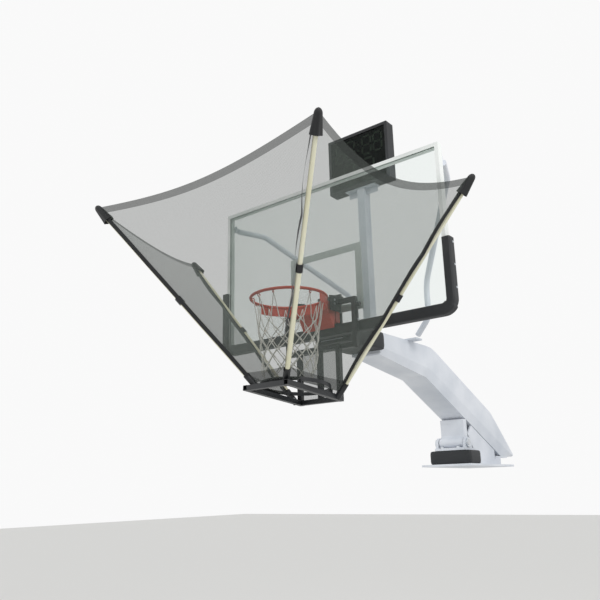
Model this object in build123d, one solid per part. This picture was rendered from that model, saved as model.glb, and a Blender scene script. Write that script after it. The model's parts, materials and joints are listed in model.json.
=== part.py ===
"""Glass basketball goal on a folding boom, with a ball-return net and a shot clock.

Millimetres, +Z up, +X to the right of someone facing the board, +Y from the board towards the boom.
The origin is the middle of the underside of the mounting plate that the boom's pedestal stands on.
Places near the board are given from the middle of the board's lower edge, on the glass's front
plane: board_x, board_y and board_z below are those three distances, and at() turns them into places.
"""

from build123d import *
from math import atan2, cos, degrees, hypot, pi, radians, sin, sqrt, tan
import os

# ---------------------------------------------------------------- driving dimensions
REACH = 1990.0            # from the mounting plate's middle forward to the glass's front plane
RISE = 846.0              # from the mounting plate's underside up to the board's lower edge

BOARD_WIDTH = 1800.0
BOARD_HEIGHT = 1050.0
FRAME_FACE = 25.0         # width of the frame's lip round the glass
FRAME_DEPTH = 50.0
GLASS_THICK = 12.0
GLASS_COVER = 10.0        # how far the glass goes into the frame's groove
GLASS_SETBACK = 3.0       # lip in front of the glass
FIT_GAP = 0.4             # clearance round a part that sits in a groove or pocket
SEAT_GAP = 0.3            # clearance between a soft part, or a moving part, and its seat

TARGET_WIDTH = 590.0
TARGET_HEIGHT = 450.0
TARGET_LINE = 50.0
TARGET_BASE = 100.0       # lower edge of the target above the board's lower edge
LINE_THICK = 0.5

PAD_FRONT = 22.0          # how far the edge pad stands in front of the board
PAD_SIDE = 32.0           # how far it stands out at the sides
PAD_BELOW = 48.0          # how far it hangs below the board
PAD_LIP = 22.0            # how far it covers the frame's front
PAD_RISE = 426.0          # height of its side legs above the board's lower edge
PAD_CORNER = 60.0

RING_RADIUS = 225.0       # inside
RING_ROD = 18.0
RING_HEIGHT = 150.0       # ring's top above the board's lower edge
RING_CENTRE = 376.0       # ring's centre in front of the glass
RING_HINGE_Y = -78.0      # hinge line, in front of the glass
RING_HINGE_Z = 128.0
RING_PIN = 12.0
NET_HOOKS = 12
HOOK_RADIUS = RING_RADIUS - 5.5       # hooks' centres, inside the ring's bar
HOOK_DROP = 21.0          # and below the ring's top
NET_LENGTH = 470.0
NET_HEAD_RADIUS = 222.0
NET_FOOT_RADIUS = 180.0
NET_WALL = 5.0

ARM_HALF = 120.0          # boom's side walls
KEEL_HALF = 104.0         # boom's underside, narrower than its walls
ARM_WALL = 6.0
PIVOT_Y = 1712.0          # boom's fold pivot, behind the glass
PIVOT_Z = -660.0
PIVOT_PIN = 50.0
PIVOT_BOSS = 78.0

PLATE_THICK = 16.0
PLATE_HALF_WIDTH = 215.0
PLATE_LENGTH = 860.0
PLATE_HOLE_X = 350.0      # hole spacing across the plate
PLATE_HOLE_Y = 760.0
PLATE_HOLE = 22.0

FRAME_TUBE = 30.0         # square tube of the ball-return frame
HANGER_HALF = 268.0       # hanger posts' centre lines
HANGER_Y = -52.0
CHUTE_HALF = 155.0        # chute frame's side tubes, centre lines
CHUTE_FRONT_Y = -590.0
CHUTE_BACK_Y = HANGER_Y - FRAME_TUBE     # its rear posts stand against the hanger
CHUTE_FRONT_Z = -421.0
CHUTE_BACK_Z = -468.0
HOOP_RADIUS = 215.0
HOOP_CENTRE_Y = -326.0
HOOP_CENTRE_Z = -401.0
HOOP_BAND = 22.0
HOOP_THICK = 4.0

CLAMP_X = 145.0           # inner face of the clamp plates
CLAMP_THICK = 8.0
LATCH_Z = 14.0            # latch levers' pivots

POLE_OUTER = 15.0         # radius of a lower pole tube
POLE_WALL = 1.6
POLE_INNER_GAP = 0.3
POLE_SPLIT = 0.46         # share of the pole that the lower tube covers
POLE_OVERLAP = 300.0      # length of upper tube left inside the lower one
LOCK_LENGTH = 46.0
LOCK_RADIUS = 20.0

CLOCK_WIDTH = 540.0
CLOCK_HEIGHT = 462.0
CLOCK_DEPTH = 90.0
CLOCK_FRONT_Y = 490.0
CLOCK_BASE_Z = 1197.0
MAST_WIDTH = 60.0
MAST_DEPTH = 80.0
MAST_Y = 548.0

BRACE_RADIUS = 21.0
MESH_THICK = 3.0
MESH_SHORTFALL = 70.0     # length of pole left bare above its socket

os.makedirs("parts", exist_ok=True)


# ---------------------------------------------------------------- small helpers
def at(board_x, board_y, board_z):
    """A place, from its distances to the middle of the board's lower edge."""
    return Vector(board_x, board_y - REACH, board_z + RISE)


def block(low, high):
    """A box between two corners given from the board's lower edge."""
    a = at(*low)
    b = at(*high)
    size = b - a
    return Pos(*((a + b) * 0.5)) * Box(size.X, size.Y, size.Z)


def rod(start, end, radius, bore=0.0):
    """A round rod, or a tube if it has a bore, between two places."""
    run = end - start
    plane = Plane(origin=start, z_dir=run)
    solid = extrude(plane * Circle(radius), run.length)
    if bore:
        solid = solid - extrude(plane * Circle(bore), run.length)
    return solid


def square_tube(start, end, width, depth, wall, across=(1, 0, 0)):
    """A rectangular tube between two places; across is the direction of its width."""
    run = end - start
    plane = Plane(origin=start, x_dir=Vector(*across), z_dir=run)
    solid = extrude(plane * Rectangle(width, depth), run.length)
    return solid - extrude(plane * Rectangle(width - 2 * wall, depth - 2 * wall), run.length)


def square_bar(start, end, width):
    """A solid square bar between two places, as long as it is wide at each end beyond them."""
    run = end - start
    unit = run.normalized()
    across = (1, 0, 0) if abs(unit.X) < 0.5 else (0, 1, 0)
    plane = Plane(origin=start - unit * width / 2, x_dir=Vector(*across), z_dir=run)
    return extrude(plane * Rectangle(width, width), run.length + width)


def side_plate(outline, x_low, x_high):
    """A plate parallel to the YZ plane, from an outline of board_y, board_z points."""
    points = [at(x_low, y, z) for y, z in outline]
    return extrude(Face(Wire.make_polygon(points)), x_high - x_low, dir=(1, 0, 0))


def hex_bolt(place, direction, shank, length, head_height=None):
    """A hexagon bolt: its head's seat at place, its shank going along direction."""
    head = head_height or shank * 0.65
    plane = Plane(origin=place, z_dir=Vector(*direction))
    body = extrude(plane * RegularPolygon(shank * 0.95, 6), -head)
    return body + extrude(plane * Circle(shank / 2), length)


def lerp(a, b, share):
    return a + (b - a) * share


def save(name, shape):
    """Write one node. A list of separate solids becomes one compound."""
    if isinstance(shape, (list, tuple)):
        solids = [solid for item in shape for solid in item.solids()]
        shape = Compound(children=solids)
    export_step(shape, f"parts/{name}.step")


# ---------------------------------------------------------------- base: plate, pedestal and clevis
def make_base():
    plate_low = -RISE
    plate_top = plate_low + PLATE_THICK
    plate = block((-PLATE_HALF_WIDTH, REACH - PLATE_LENGTH / 2, plate_low),
                  (PLATE_HALF_WIDTH, REACH + PLATE_LENGTH / 2, plate_top))
    for sx in (-1, 1):
        for sy in (-1, 1):
            foot = at(sx * PLATE_HOLE_X / 2, REACH + sy * PLATE_HOLE_Y / 2, plate_low)
            plate = plate - rod(foot, foot + Vector(0, 0, PLATE_THICK), PLATE_HOLE / 2)
    save("mounting_plate", plate)

    # The pedestal is a welded box tube inside a thick foam-filled pad.
    top_z = -720.0
    box_half = 140.0
    box_front = 1677.0
    box_back = 1800.0
    pad_cover = 40.0
    core = block((-box_half, box_front, plate_top), (box_half, box_back, top_z))
    hollow = block((-box_half + 8, box_front + 8, plate_top), (box_half - 8, box_back - 8, top_z - 12))
    save("pedestal_box", core - hollow)
    pad = block((-box_half - pad_cover, box_front - pad_cover, plate_top + SEAT_GAP),
                (box_half + pad_cover, box_back + pad_cover, top_z))
    pad = fillet(pad.edges().filter_by(Axis.Z), 18)
    sleeve = block((-box_half - SEAT_GAP, box_front - SEAT_GAP, plate_top),
                   (box_half + SEAT_GAP, box_back + SEAT_GAP, top_z))
    save("pedestal_pad", pad - sleeve)

    # The clevis: a foot plate, two ears and a stiffening block, bored for the fold pin.
    foot_thick = 20.0
    ear_thick = 20.0
    ear_inner = KEEL_HALF + 6.0
    ear_outer = ear_inner + ear_thick
    foot_top = top_z + foot_thick
    clevis = block((-ear_outer, 1642, top_z), (ear_outer, 1832, foot_top))
    axis_left = at(-ear_outer - 30, PIVOT_Y, PIVOT_Z)
    axis_right = at(ear_outer + 30, PIVOT_Y, PIVOT_Z)
    for side in (-1, 1):
        low = min(side * ear_inner, side * ear_outer)
        high = max(side * ear_inner, side * ear_outer)
        ear = side_plate([(PIVOT_Y - 52, foot_top), (PIVOT_Y - 45, PIVOT_Z + 10), (PIVOT_Y - 15, PIVOT_Z + 44),
                          (PIVOT_Y + 25, PIVOT_Z + 44), (PIVOT_Y + 70, PIVOT_Z - 5),
                          (PIVOT_Y + 80, foot_top)], low, high)
        clevis = clevis + ear
    clevis = clevis - rod(axis_left, axis_right, PIVOT_PIN / 2 + 0.05)
    bolt_places = [at(sx * 70, y, foot_top) for sx in (-1, 1) for y in (1660, 1812)]
    for place in bolt_places:
        clevis = clevis - rod(place - Vector(0, 0, foot_thick), place, 9)
    save("clevis_bracket", clevis)
    bolts = [hex_bolt(place, (0, 0, -1), 16, foot_thick - 0.5, 11) for place in bolt_places]
    save("clevis_bolts", bolts)

    pin = rod(at(-ear_outer - 14, PIVOT_Y, PIVOT_Z), at(ear_outer + 14, PIVOT_Y, PIVOT_Z), PIVOT_PIN / 2)
    save("fold_pin", pin)
    rings = []
    for side in (-1, 1):
        inner = at(side * ear_outer, PIVOT_Y, PIVOT_Z)
        outer = at(side * (ear_outer + 12), PIVOT_Y, PIVOT_Z)
        rings.append(rod(inner, outer, PIVOT_PIN / 2 + 11, PIVOT_PIN / 2))
    save("fold_pin_collars", rings)

    # The tail seat: two cheeks and a cross plate behind the pedestal, which the folded-up boom rests on.
    seat_top = TAIL_Z - 12.0 - SEAT_GAP
    cheek_thick = 12.0
    cheeks = []
    for side in (-1, 1):
        low = min(side * 92, side * (92 + cheek_thick))
        cheeks.append(side_plate([(2412, plate_top), (1872, plate_top), (1872, -706), (1786, -588),
                                  (1858, under_at(1858) - 8), (2290, under_at(2290) - 8),
                                  (2290, seat_top - 16), (2412, seat_top - 16)],
                                 low, low + cheek_thick))
    shelf = block((-104, 2300, seat_top - 16), (104, 2412, seat_top))
    web = block((-92, 2388, plate_top), (92, 2400, seat_top - 16))
    save("tail_seat", cheeks[0] + cheeks[1] + shelf + web)


# ---------------------------------------------------------------- boom
HEAD_Y = 480.0            # front end of the boom, behind the glass
ARM_TOP_Z = 50.0
TAIL_Z = -752.0
# Each row: board_y, top, lower edge of the side wall, underside.
BOOM_SECTIONS = [
    (HEAD_Y, ARM_TOP_Z, -56.0, -106.0),
    (1140.0, ARM_TOP_Z, -122.0, -194.0),
    (1225.0, 44.0, -142.0, -232.0),
    (1302.0, 18.0, -175.0, -266.0),
    (2245.0, -384.0, -579.0, -676.0),
    (2420.0, -526.0, -654.0, TAIL_Z),
    (2660.0, -728.0, -745.0, TAIL_Z),
]


def boom_loft(inset):
    """The boom's body: six-sided sections joined by flat plates, drawn in by the wall if inset."""
    sections = []
    for y, top, edge, under in BOOM_SECTIONS:
        wall = inset
        low = under + wall
        high = max(top - wall, low + 2 * wall + 1)
        mid = min(max(edge, low + wall), high - wall)
        half = ARM_HALF - wall
        keel = KEEL_HALF - wall
        points = [at(-half, y, high), at(half, y, high), at(half, y, mid),
                  at(keel, y, low), at(-keel, y, low), at(-half, y, mid)]
        sections.append(Face(Wire.make_polygon(points)))
    return loft(sections, ruled=True)


def make_boom():
    arm = boom_loft(0.0)
    inner = boom_loft(ARM_WALL)
    inner = inner - block((-200, 2400, -900), (200, 2700, 200))
    # Tail flange welded under the arm's rear end; it lies on the tail seat when the boom is up.
    flange = block((-KEEL_HALF, 2305, TAIL_Z - 12), (KEEL_HALF, 2560, TAIL_Z))
    for sx in (-1, 1):
        for y in (2440, 2530):
            hole = at(sx * 70, y, TAIL_Z - 12)
            flange = flange - rod(hole, hole + Vector(0, 0, 12), 7)
    save("boom_arm", arm - inner + flange)

    # The leg that carries the boom on its fold pin.
    leg = side_plate([(1722, -470), (1776, -470), (1776, -600), (1748, PIVOT_Z - 10),
                      (PIVOT_Y, PIVOT_Z - 30), (PIVOT_Y, PIVOT_Z + 30), (1722, -600)], -KEEL_HALF, KEEL_HALF)
    leg = leg + rod(at(-KEEL_HALF, PIVOT_Y, PIVOT_Z), at(KEEL_HALF, PIVOT_Y, PIVOT_Z), PIVOT_BOSS / 2)
    leg = leg - rod(at(-KEEL_HALF - 1, PIVOT_Y, PIVOT_Z), at(KEEL_HALF + 1, PIVOT_Y, PIVOT_Z), PIVOT_PIN / 2 + 6)
    above = side_plate([(1600, under_at(1600)), (1950, under_at(1950)), (1950, -300), (1600, -300)], -200, 200)
    save("boom_leg", leg - above)
    bush = rod(at(-KEEL_HALF - 3, PIVOT_Y, PIVOT_Z), at(KEEL_HALF + 3, PIVOT_Y, PIVOT_Z),
               PIVOT_PIN / 2 + 6, PIVOT_PIN / 2 + 0.05)
    save("fold_bush", bush)


def under_at(y):
    """Height of the boom's underside at a board_y on its sloping part."""
    y0, z0 = BOOM_SECTIONS[3][0], BOOM_SECTIONS[3][3]
    y1, z1 = BOOM_SECTIONS[4][0], BOOM_SECTIONS[4][3]
    return lerp(z0, z1, (y - y0) / (y1 - y0))


# ---------------------------------------------------------------- head, mast and braces
def make_head():
    # A box tube from the board's structure back to a flange on the boom's front end.
    tube = square_tube(at(0, BACK_PLATE_Y, -12), at(0, HEAD_Y - 12, -12), 176, 84, 6)
    flange = block((-118, HEAD_Y - 12, -100), (118, HEAD_Y, 44))
    flange = flange - block((-82, HEAD_Y - 13, -48), (82, HEAD_Y + 1, 24))
    bolt_places = [at(sx * 104, HEAD_Y - 12, z) for sx in (-1, 1) for z in (-40, 16)]
    for place in bolt_places:
        flange = flange - rod(place, place + Vector(0, 12, 0), 6.2)
    save("head_block", tube + flange)
    save("head_bolts", [hex_bolt(place, (0, 1, 0), 12, 11.5, 8) for place in bolt_places])

    # Padded cover round the head.
    cover = block((-148, BACK_PLATE_Y + 4, -80), (148, 500, 46))
    cover = fillet(cover.edges().filter_by(Axis.Y), 14)
    cover = fillet(cover.edges().filter_by(Axis.Z), 22)
    hole_front = block((-118, 50, -62), (118, HEAD_Y - 14, 30 + SEAT_GAP))
    hole_back = block((-ARM_HALF - 4, HEAD_Y - 16, -112), (ARM_HALF + 4, 502, 60))
    save("head_pad", cover - hole_front - hole_back)


def make_mast():
    top_z = CLOCK_BASE_Z - 10.0
    foot_top = ARM_TOP_Z + 10.0
    mast = square_tube(at(0, MAST_Y, foot_top), at(0, MAST_Y, top_z), MAST_WIDTH, MAST_DEPTH, 3)
    foot = block((-75, MAST_Y - 44, ARM_TOP_Z), (75, MAST_Y + 66, foot_top))
    spots = [(sx * 58, MAST_Y + dy) for sx in (-1, 1) for dy in (-28, 52)]
    for x, y in spots:
        foot = foot - rod(at(x, y, ARM_TOP_Z), at(x, y, foot_top), 5.5)
    save("clock_mast", mast + foot)
    save("mast_bolts", [hex_bolt(at(x, y, foot_top), (0, 0, -1), 10, 9.6, 7) for x, y in spots])
    shelf = block((-132, CLOCK_FRONT_Y + 12, top_z), (132, CLOCK_FRONT_Y + CLOCK_DEPTH - 6, CLOCK_BASE_Z))
    for side in (-1, 1):
        low = min(side * 30, side * 126)
        shelf = shelf + block((low, MAST_Y - 4, top_z - 42), (low + 96, MAST_Y + 4, top_z))
    save("clock_bracket", shelf)


def make_clock():
    w = CLOCK_WIDTH / 2
    y0 = CLOCK_FRONT_Y
    y1 = y0 + CLOCK_DEPTH
    z0 = CLOCK_BASE_Z
    z1 = z0 + CLOCK_HEIGHT
    wall = 3.0
    bezel_depth = 22.0
    shell = block((-w, y0 + bezel_depth, z0), (w, y1, z1))
    shell = fillet(shell.edges().filter_by(Axis.Y), 6)
    shell = shell - block((-w + wall, y0 + bezel_depth, z0 + wall), (w - wall, y1 - wall, z1 - wall))
    save("clock_housing", shell)
    rim = 24.0
    bezel = block((-w, y0, z0), (w, y0 + bezel_depth, z1))
    bezel = fillet(bezel.edges().filter_by(Axis.Y), 6)
    bezel = bezel - block((-w + rim, y0, z0 + rim), (w - rim, y0 + bezel_depth, z1 - rim))
    bezel = bezel - block((-w + rim - 8, y0 + 5, z0 + rim - 8), (w - rim + 8, y0 + 9 + FIT_GAP, z1 - rim + 8))
    save("clock_bezel", bezel)
    window = block((-w + rim - 8 + FIT_GAP, y0 + 5, z0 + rim - 8 + FIT_GAP),
                   (w - rim + 8 - FIT_GAP, y0 + 9, z1 - rim + 8 - FIT_GAP))
    save("clock_window", window)
    save("clock_digits", clock_digits(y0 + 9, z1))


def clock_digits(y, top_z):
    """Seven-segment digits behind the window: four with a colon above, two larger ones below."""
    pieces = []
    rows = [(-168, top_z - 132, 74, 148, 15), (-70, top_z - 132, 74, 148, 15),
            (78, top_z - 132, 74, 148, 15), (176, top_z - 132, 74, 148, 15),
            (-88, top_z - 330, 92, 170, 18), (88, top_z - 330, 92, 170, 18)]
    for x, z, width, height, bar in rows:
        half_w = width / 2
        half_h = height / 2
        for level in (-half_h, 0, half_h):
            pieces.append(block((x - half_w + bar * 0.7, y, z + level - bar / 2),
                                (x + half_w - bar * 0.7, y + 3, z + level + bar / 2)))
        for sx in (-1, 1):
            for sz in (-1, 1):
                low = min(sz * half_h, 0) + bar * 0.7
                pieces.append(block((x + sx * half_w - bar / 2, y, z + low),
                                    (x + sx * half_w + bar / 2, y + 3, z + low + half_h - bar * 1.4)))
    for z in (top_z - 160, top_z - 104):
        pieces.append(block((-4, y, z - 8), (12, y + 3, z + 8)))
    return pieces


BRACE_PATH = [(878.0, 104.0, 948.0), (798.0, 316.0, 943.0), (318.0, 838.0, 440.0),
              (318.0, 842.0, 190.0), (196.0, 884.0, ARM_TOP_Z + BRACE_RADIUS + 9)]


def make_braces():
    lugs = []
    for side, name in ((-1, "brace_left"), (1, "brace_right")):
        points = [at(side * x, y, z) for x, y, z in BRACE_PATH]
        path = FilletPolyline(*points, radius=[60, 170, 90])
        start = Plane(origin=points[0], z_dir=points[1] - points[0])
        tube = sweep(start * Circle(BRACE_RADIUS), path)
        # Each foot is a plate welded under the bent tube's end and bolted to the boom's top.
        foot_x, foot_y, foot_z = BRACE_PATH[-1]
        x_near = min(side * 60, side * foot_x)
        foot = block((x_near, foot_y - 26, ARM_TOP_Z), (x_near + foot_x - 60, foot_y + 60, ARM_TOP_Z + 12))
        save(name, tube + foot)

        # Lug on the back of the board's frame; the tube's end butts on it.
        x, y, z = BRACE_PATH[0]
        unit = (points[1] - points[0]).normalized()
        lug = block((side * x - 22, FRAME_DEPTH, z - 24), (side * x + 22, FRAME_DEPTH + 8, z + 24))
        lug = lug + block((side * x - 5, FRAME_DEPTH + 8, z - 18), (side * x + 5, y - 6, z + 18))
        lugs.append(lug + rod(points[0] - unit * 8, points[0], BRACE_RADIUS))
    save("brace_lugs", lugs)


# ---------------------------------------------------------------- board
def make_board():
    w = BOARD_WIDTH / 2
    frame = block((-w, 0, 0), (w, FRAME_DEPTH, BOARD_HEIGHT))
    opening_w = w - FRAME_FACE
    frame = frame - block((-opening_w, -1, FRAME_FACE), (opening_w, FRAME_DEPTH + 1, BOARD_HEIGHT - FRAME_FACE))
    glass_w = opening_w + GLASS_COVER
    glass_low = FRAME_FACE - GLASS_COVER
    glass_high = BOARD_HEIGHT - glass_low
    groove = block((-glass_w - FIT_GAP, GLASS_SETBACK, glass_low - FIT_GAP),
                   (glass_w + FIT_GAP, GLASS_SETBACK + GLASS_THICK + FIT_GAP, glass_high + FIT_GAP))
    save("board_frame", frame - groove)
    glass = block((-glass_w, GLASS_SETBACK, glass_low), (glass_w, GLASS_SETBACK + GLASS_THICK, glass_high))
    for x, z in RING_BOLTS:
        glass = glass - rod(at(x, 0, z), at(x, 30, z), RING_BOLT_HOLE / 2)
    save("glass_board", glass)

    # The white target and border printed on the back of the glass.
    back = GLASS_SETBACK + GLASS_THICK
    outer = block((-TARGET_WIDTH / 2, back, TARGET_BASE),
                  (TARGET_WIDTH / 2, back + LINE_THICK, TARGET_BASE + TARGET_HEIGHT))
    inner = block((-TARGET_WIDTH / 2 + TARGET_LINE, back - 1, TARGET_BASE + TARGET_LINE),
                  (TARGET_WIDTH / 2 - TARGET_LINE, back + 2, TARGET_BASE + TARGET_HEIGHT - TARGET_LINE))
    lines = outer - inner
    lines = lines - block((-95, back - 1, TARGET_BASE - 5), (95, back + 2, TARGET_BASE + TARGET_LINE + 5))
    save("target_lines", lines)

    # Edge pad: one U of moulded foam round the board's lower corners.
    pw = w + PAD_SIDE
    pad = block((-pw, -PAD_FRONT, -PAD_BELOW), (pw, FRAME_DEPTH - SEAT_GAP, PAD_RISE))
    corners = [edge for edge in pad.edges().filter_by(Axis.Y) if edge.center().Z < RISE]
    pad = fillet(corners, PAD_CORNER)
    window = block((-w + PAD_LIP, -PAD_FRONT - 1, PAD_LIP), (w - PAD_LIP, FRAME_DEPTH + 1, PAD_RISE + 1))
    pad = pad - window
    pad = pad - block((-w - SEAT_GAP, -SEAT_GAP, -SEAT_GAP), (w + SEAT_GAP, FRAME_DEPTH + 1, PAD_RISE + 1))
    screw_spots = [(side, z) for side in (-1, 1) for z in (110, 250, 390)]
    for side, z in screw_spots:
        pad = pad - rod(at(side * (pw + 1), 24, z), at(side * w, 24, z), 4.2)
    save("edge_pad", pad)
    save("edge_pad_screws", [hex_bolt(at(side * pw, 24, z), (-side, 0, 0), 8, PAD_SIDE - 1, 2.5)
                             for side, z in screw_spots])

    # Steel back plate behind the glass: it takes the ring's load past the glass into the head.
    plate = block((-95, FRAME_DEPTH, -50), (95, BACK_PLATE_Y, 240))
    for x, z in RING_BOLTS:
        plate = plate - rod(at(x, FRAME_DEPTH, z), at(x, BACK_PLATE_Y, z), RING_BOLT / 2 + 0.5)
    save("ring_back_plate", plate)
    spacers = []
    for x, z in RING_BOLTS:
        spacers.append(rod(at(x, -0.5, z), at(x, FRAME_DEPTH, z), RING_BOLT_HOLE / 2 - 1.5, RING_BOLT / 2 + 0.5))
    save("ring_spacers", spacers)
    bolts = []
    for x, z in RING_BOLTS:
        nut = Plane(origin=at(x, BACK_PLATE_Y, z), z_dir=(0, 1, 0)) * RegularPolygon(RING_BOLT * 0.95, 6)
        bolts.append(hex_bolt(at(x, -12, z), (0, 1, 0), RING_BOLT, BACK_PLATE_Y + 26, 9) + extrude(nut, 10))
    save("ring_bolts", bolts)


RING_BOLT = 12.0
RING_BOLT_HOLE = 22.0
RING_BOLTS = [(sx * 74.0, 105.0 + sz * 45.0) for sx in (-1, 1) for sz in (-1, 1)]
BACK_PLATE_Y = FRAME_DEPTH + 12.0     # back of the steel plate behind the glass
RING_BASE_TOP = 172.0


# ---------------------------------------------------------------- ring
def ring_tube():
    """The ring's round bar, closed into a circle."""
    centre = at(0, -RING_CENTRE, RING_HEIGHT - RING_ROD / 2)
    return Pos(*centre) * Torus(RING_RADIUS + RING_ROD / 2, RING_ROD / 2)


def release_box():
    """The release gear's cover: a wedge, open behind, that is deep at the top and comes to an edge below."""
    under = RING_HEIGHT - RING_PLATE
    outer = side_plate([(HOUSING_BACK_Y, under), (HOUSING_FRONT_Y, under), (HOUSING_FRONT_Y + 8, 96),
                        (-76, HOUSING_LOW_Z), (-72, HOUSING_LOW_Z)], -HOUSING_HALF, HOUSING_HALF)
    inner = side_plate([(-20, under), (HOUSING_FRONT_Y + 4, under), (HOUSING_FRONT_Y + 12, 97),
                        (-71, HOUSING_LOW_Z - 2), (-20, HOUSING_LOW_Z - 2)], -HOUSING_HALF + 4, HOUSING_HALF - 4)
    return outer - inner


def ring_skirt():
    """The plate bent round under the ring's rear half and welded to its bar."""
    middle = RING_RADIUS + RING_ROD / 2
    low = at(0, -RING_CENTRE, SKIRT_LOW_Z)
    band = rod(low, low + Vector(0, 0, RING_HEIGHT - 12 - SKIRT_LOW_Z), middle + 2.5, middle - 2.5)
    return band & block((-300, -RING_CENTRE + 10, 0), (300, 0, 200))


RING_PLATE = 5.0
SKIRT_LOW_Z = 82.0
HOUSING_HALF = 122.0
HOUSING_BACK_Y = -52.0
HOUSING_FRONT_Y = -150.0
HOUSING_LOW_Z = -12.0
SPRING_Y = -100.0
SPRING_RADIUS = 15.0
SPRING_LOW_Z = 80.0


def make_ring():
    # Fixed base: a plate on the glass side, its bent-up flanges, two hinge cheeks and the spring's shelf.
    base = block((-HOUSING_HALF + 6, -12, 30), (HOUSING_HALF - 6, -0.5, RING_BASE_TOP))
    for side in (-1, 1):
        low = min(side * 44, side * 56)
        base = base + side_plate([(-12, 34), (-12, 142), (RING_HINGE_Y - 12, 142), (RING_HINGE_Y - 12, 112),
                                  (-60, 34)], low, low + 12)
        low = min(side * (HOUSING_HALF - 14), side * (HOUSING_HALF - 6))
        base = base + side_plate([(-12, 30), (-12, 136), (-42, 136), (-42, 30)], low, low + 8)
    base = base + block((-44, -110, SPRING_LOW_Z - 8), (44, -12, SPRING_LOW_Z))
    pin_left = at(-78, RING_HINGE_Y, RING_HINGE_Z)
    pin_right = at(78, RING_HINGE_Y, RING_HINGE_Z)
    for x, z in RING_BOLTS:
        base = base - rod(at(x, -20, z), at(x, 5, z), RING_BOLT / 2 + 0.5)
    base = base - rod(pin_left, pin_right, RING_PIN / 2 + 0.05)
    save("ring_base", base)
    save("ring_pin", rod(pin_left, pin_right, RING_PIN / 2))
    under = RING_HEIGHT - RING_PLATE
    save("release_spring", rod(at(0, SPRING_Y, SPRING_LOW_Z), at(0, SPRING_Y, under - SEAT_GAP),
                               SPRING_RADIUS, SPRING_RADIUS - 5))
    save("ring_rim", ring_tube())

    # Moving bracket: top plate, release cover, hinge lugs, two wings out to the ring, and the skirt.
    outline = [(HOUSING_HALF, HOUSING_BACK_Y), (HOUSING_HALF, -130), (162, -208)]
    corners = [at(x, y, under) for x, y in outline] + [at(-x, y, under) for x, y in reversed(outline)]
    mouth = at(0, -RING_CENTRE, 0)
    ring_room = rod(mouth, mouth + Vector(0, 0, 300), RING_RADIUS + RING_ROD / 2)
    body = extrude(Face(Wire.make_polygon(corners)), RING_PLATE, dir=(0, 0, 1)) - ring_room
    body = body + release_box() + ring_skirt()
    for side in (-1, 1):
        low = min(side * 60, side * 72)
        body = body + side_plate([(-62, under), (-98, under), (-98, 118), (-62, 112)], low, low + 12)
        inner = at(side * (HOUSING_HALF - 4), -128, under)
        outer = at(side * 160, -206, under)
        normal = (outer - inner).cross(Vector(0, 0, side)).normalized() * -1
        points = [outer, inner, inner - Vector(0, 0, 78), outer - Vector(0, 0, under - SKIRT_LOW_Z)]
        wing = extrude(Face(Wire.make_polygon(points)), 4, dir=normal)
        body = body + (wing - ring_room)
    body = body - rod(pin_left, pin_right, RING_PIN / 2 + 0.05)
    save("ring_bracket", body - ring_tube())

    hooks = []
    loop_radius = 8.5
    loop_wire = 2.5
    for index in range(NET_HOOKS):
        angle = radians(360.0 * (index + 0.5) / NET_HOOKS)
        x = HOOK_RADIUS * cos(angle)
        y = -RING_CENTRE + HOOK_RADIUS * sin(angle)
        spot = at(x, y, RING_HEIGHT - HOOK_DROP)
        plane = Plane(origin=spot, x_dir=Vector(cos(angle), sin(angle), 0), z_dir=Vector(-sin(angle), cos(angle), 0))
        hooks.append(plane * Torus(loop_radius, loop_wire) - ring_tube())
    save("net_hooks", hooks)

    # String net: a tapering sleeve, open at both ends.
    net_top = RING_HEIGHT - HOOK_DROP - loop_radius - loop_wire - SEAT_GAP
    foot = Plane(origin=at(0, -RING_CENTRE, net_top - NET_LENGTH))
    head = Plane(origin=at(0, -RING_CENTRE, net_top))
    outer = loft([foot * Circle(NET_FOOT_RADIUS), head * Circle(NET_HEAD_RADIUS)])
    inner = loft([foot * Circle(NET_FOOT_RADIUS - NET_WALL), head * Circle(NET_HEAD_RADIUS - NET_WALL)])
    save("string_net", outer - inner)


# ---------------------------------------------------------------- ball-return frame
def chute_z(y):
    """Height of the chute frame's centre line, which falls towards the board."""
    return lerp(CHUTE_FRONT_Z, CHUTE_BACK_Z, (y - CHUTE_FRONT_Y) / (CHUTE_BACK_Y - CHUTE_FRONT_Y))


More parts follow.
